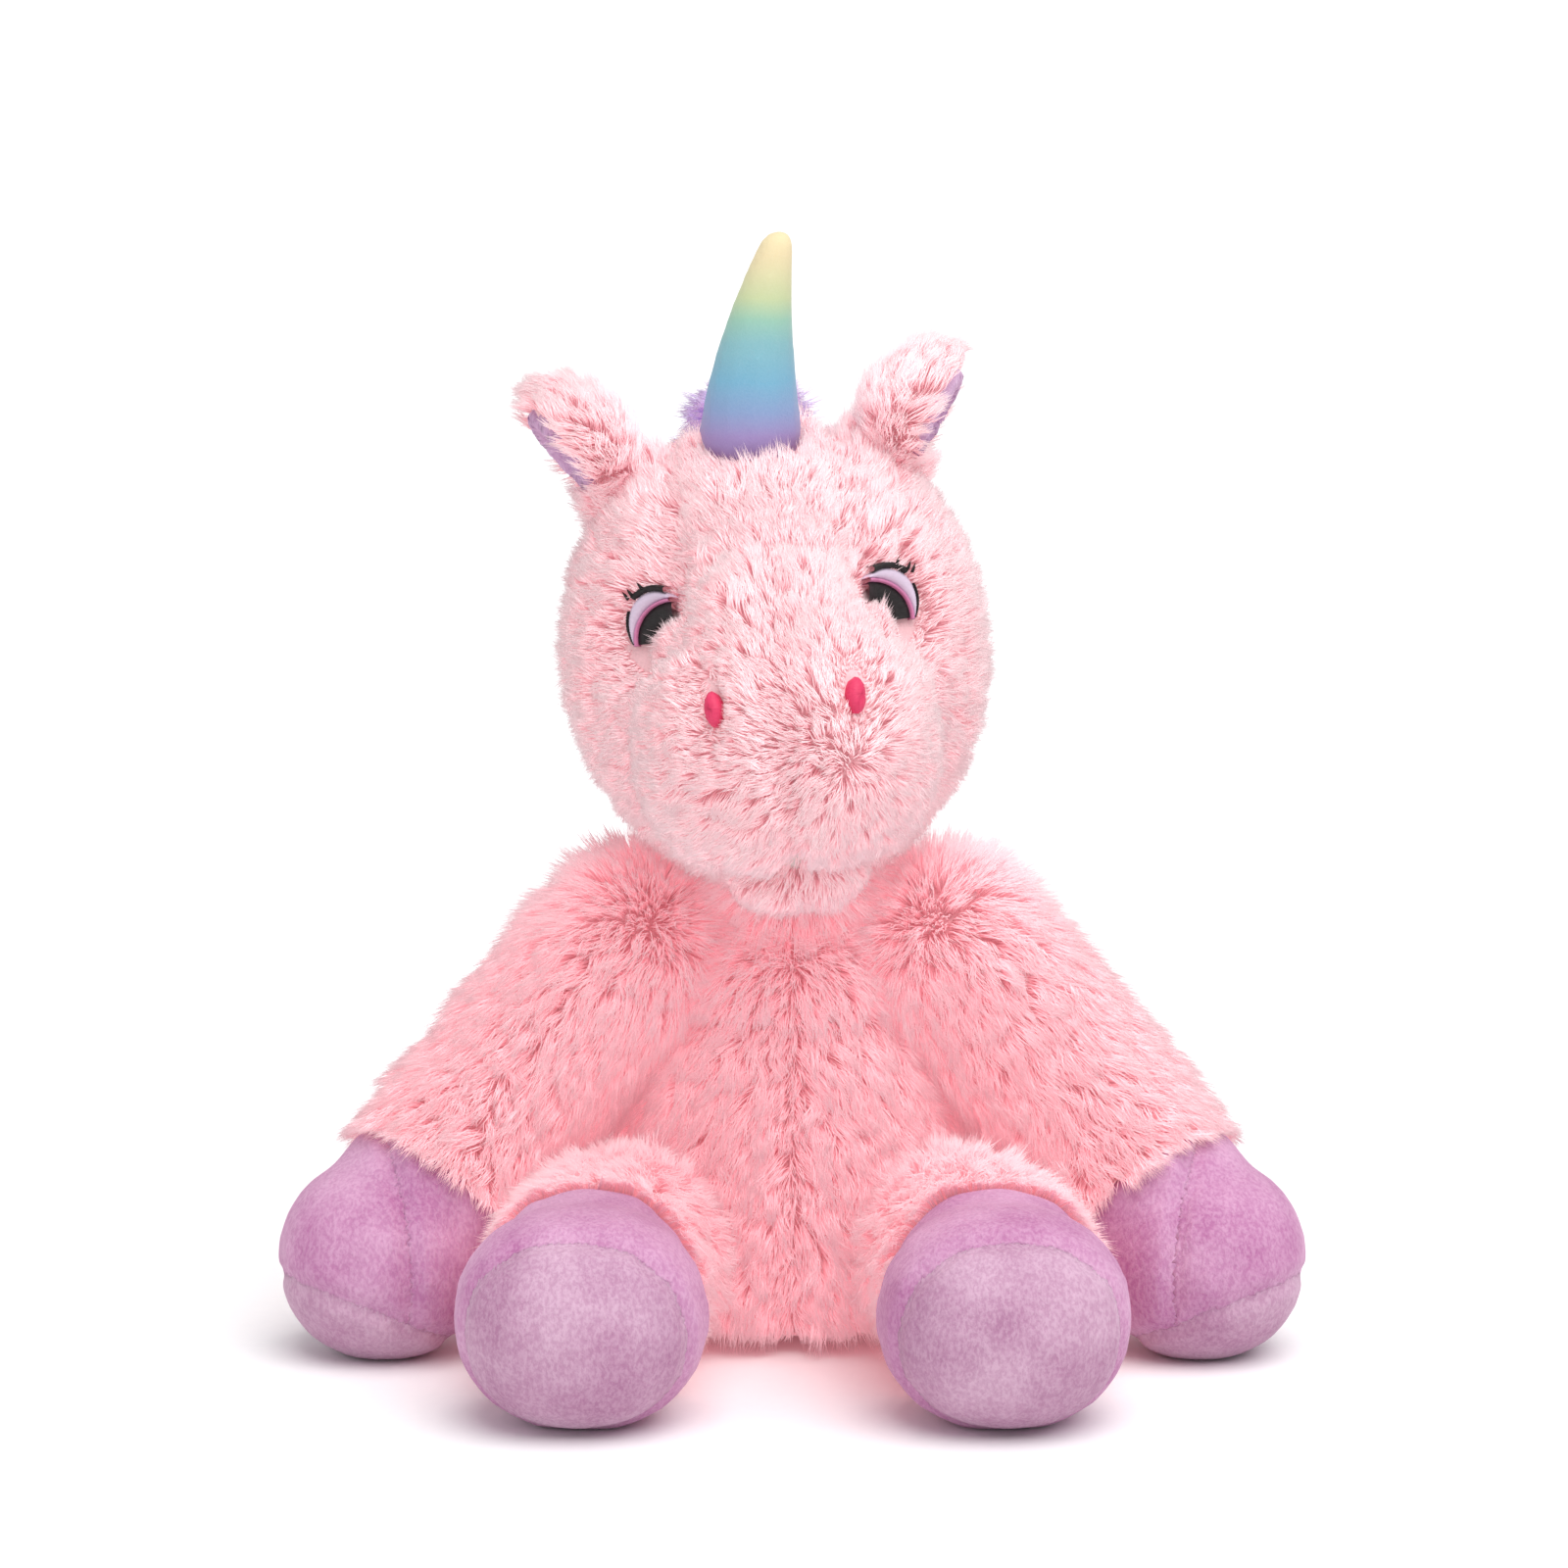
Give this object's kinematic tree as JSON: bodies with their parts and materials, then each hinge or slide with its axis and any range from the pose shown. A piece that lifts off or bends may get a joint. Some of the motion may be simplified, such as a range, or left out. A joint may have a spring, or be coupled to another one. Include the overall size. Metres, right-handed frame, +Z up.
{
  "type": "plush unicorn",
  "caption": "Seated long-pile plush unicorn with a soft curved horn, cupped ears and velour hooves; head, legs, ears, horn and tail move on stuffed roots.",
  "frame": {"origin": "middle of the flat seat, on the surface that the toy sits on", "axes": "+Z up, -Y the way the toy faces, +X the toy's own left"},
  "size_m": [0.273, 0.2104, 0.3001],
  "materials": {
    "body_fur": "long coral-pink pile, paler at the tips",
    "head_fur": "long light-pink pile",
    "hoof_velour": "short brushed lilac velour",
    "sole_velour": "short brushed pale-lilac velour",
    "mane_fur": "long purple pile",
    "lining_velour": "short brushed lilac velour",
    "horn_velour": "short velour dyed from purple through blue and green to cream",
    "eye_thread": "satin-stitch embroidery in black, white-lilac and pink",
    "nostril_thread": "satin-stitch embroidery in magenta",
    "stuffing": "loose polyester fibre",
    "bean_bag": "plain woven bag of plastic beans"
  },
  "bodies": {
    "torso": {"chest_yoke": "body_fur", "belly_left": "body_fur", "belly_right": "body_fur", "back_left": "body_fur", "back_right": "body_fur", "seat_panel": "body_fur", "torso_stuffing": "stuffing", "seat_bean_bag": "bean_bag"},
    "neck": {"neck_fill": "stuffing"},
    "head": {"forehead_gusset": "head_fur", "cheek_left": "head_fur", "cheek_right": "head_fur", "head_back_left": "head_fur", "head_back_right": "head_fur", "muzzle_left": "head_fur", "muzzle_right": "head_fur", "chin_panel": "head_fur", "head_stuffing": "stuffing", "eye_left": "eye_thread", "eye_right": "eye_thread", "nostril_left": "nostril_thread", "nostril_right": "nostril_thread", "mane": "mane_fur"},
    "horn": {"horn_cover": "horn_velour", "horn_stuffing": "stuffing"},
    "tail": {"tail": "mane_fur"},
    "ear_left": {"ear_left_outer": "head_fur", "ear_left_lining": "lining_velour"},
    "ear_right": {"ear_right_outer": "head_fur", "ear_right_lining": "lining_velour"},
    "shoulder_left": {"shoulder_fill_left": "stuffing"},
    "front_leg_left": {"front_leg_left_sleeve_outer": "body_fur", "front_leg_left_sleeve_inner": "body_fur", "front_leg_left_stuffing": "stuffing", "front_leg_left_hoof_outer": "hoof_velour", "front_leg_left_hoof_inner": "hoof_velour", "front_leg_left_hoof_sole": "sole_velour"},
    "shoulder_right": {"shoulder_fill_right": "stuffing"},
    "front_leg_right": {"front_leg_right_sleeve_outer": "body_fur", "front_leg_right_sleeve_inner": "body_fur", "front_leg_right_stuffing": "stuffing", "front_leg_right_hoof_outer": "hoof_velour", "front_leg_right_hoof_inner": "hoof_velour", "front_leg_right_hoof_sole": "sole_velour"},
    "hip_left": {"hip_fill_left": "stuffing"},
    "hind_leg_left": {"hind_leg_left_sleeve_outer": "body_fur", "hind_leg_left_sleeve_inner": "body_fur", "hind_leg_left_stuffing": "stuffing", "hind_leg_left_hoof_upper": "hoof_velour", "hind_leg_left_hoof_sole": "sole_velour"},
    "hip_right": {"hip_fill_right": "stuffing"},
    "hind_leg_right": {"hind_leg_right_sleeve_outer": "body_fur", "hind_leg_right_sleeve_inner": "body_fur", "hind_leg_right_stuffing": "stuffing", "hind_leg_right_hoof_upper": "hoof_velour", "hind_leg_right_hoof_sole": "sole_velour"}
  },
  "joints": [
    {"name": "head_turn", "type": "hinge", "parent": "torso", "child": "neck", "pos_m": [0, -0.006, 0.122], "axis": [0, 0, 1], "range_deg": [-40, 40]},
    {"name": "head_nod", "type": "hinge", "parent": "neck", "child": "head", "pos_m": [0, -0.006, 0.122], "axis": [1, 0, 0], "range_deg": [-15, 15]},
    {"name": "horn_tilt", "type": "hinge", "parent": "head", "child": "horn", "pos_m": [-0.01096, -0.0325, 0.24759], "axis": [1, 0, 0], "range_deg": [-10, 10], "stiffness_Nm_per_rad": 0.02},
    {"name": "ear_left_fold", "type": "hinge", "parent": "head", "child": "ear_left", "pos_m": [0.02341, -0.01499, 0.23783], "axis": [-0.0436, 0.999, 0], "range_deg": [-15, 15], "stiffness_Nm_per_rad": 0.01},
    {"name": "ear_right_fold", "type": "hinge", "parent": "head", "child": "ear_right", "pos_m": [-0.0442, -0.01794, 0.23132], "axis": [0.0436, -0.999, 0], "range_deg": [-15, 15], "stiffness_Nm_per_rad": 0.01},
    {"name": "front_leg_left_swing", "type": "hinge", "parent": "torso", "child": "shoulder_left", "pos_m": [0.042, -0.008, 0.105], "axis": [-1, 0, 0], "range_deg": [-30, 90]},
    {"name": "front_leg_left_spread", "type": "hinge", "parent": "shoulder_left", "child": "front_leg_left", "pos_m": [0.042, -0.008, 0.105], "axis": [0, -1, 0], "range_deg": [-2, 32]},
    {"name": "front_leg_right_swing", "type": "hinge", "parent": "torso", "child": "shoulder_right", "pos_m": [-0.042, -0.008, 0.105], "axis": [-1, 0, 0], "range_deg": [-30, 90]},
    {"name": "front_leg_right_spread", "type": "hinge", "parent": "shoulder_right", "child": "front_leg_right", "pos_m": [-0.042, -0.008, 0.105], "axis": [0, 1, 0], "range_deg": [-2, 32]},
    {"name": "hind_leg_left_lift", "type": "hinge", "parent": "torso", "child": "hip_left", "pos_m": [0.044, -0.034, 0.0275], "axis": [-1, 0, 0], "range_deg": [-25, 32]},
    {"name": "hind_leg_left_spread", "type": "hinge", "parent": "hip_left", "child": "hind_leg_left", "pos_m": [0.044, -0.034, 0.0275], "axis": [0, 0, 1], "range_deg": [-8, 15]},
    {"name": "hind_leg_right_lift", "type": "hinge", "parent": "torso", "child": "hip_right", "pos_m": [-0.044, -0.034, 0.0275], "axis": [-1, 0, 0], "range_deg": [-25, 32]},
    {"name": "hind_leg_right_spread", "type": "hinge", "parent": "hip_right", "child": "hind_leg_right", "pos_m": [-0.044, -0.034, 0.0275], "axis": [0, 0, -1], "range_deg": [-8, 15]},
    {"name": "tail_swing", "type": "hinge", "parent": "torso", "child": "tail", "pos_m": [0, 0.044, 0.036], "axis": [0, 0, 1], "range_deg": [-30, 30], "stiffness_Nm_per_rad": 0.004}
  ]
}
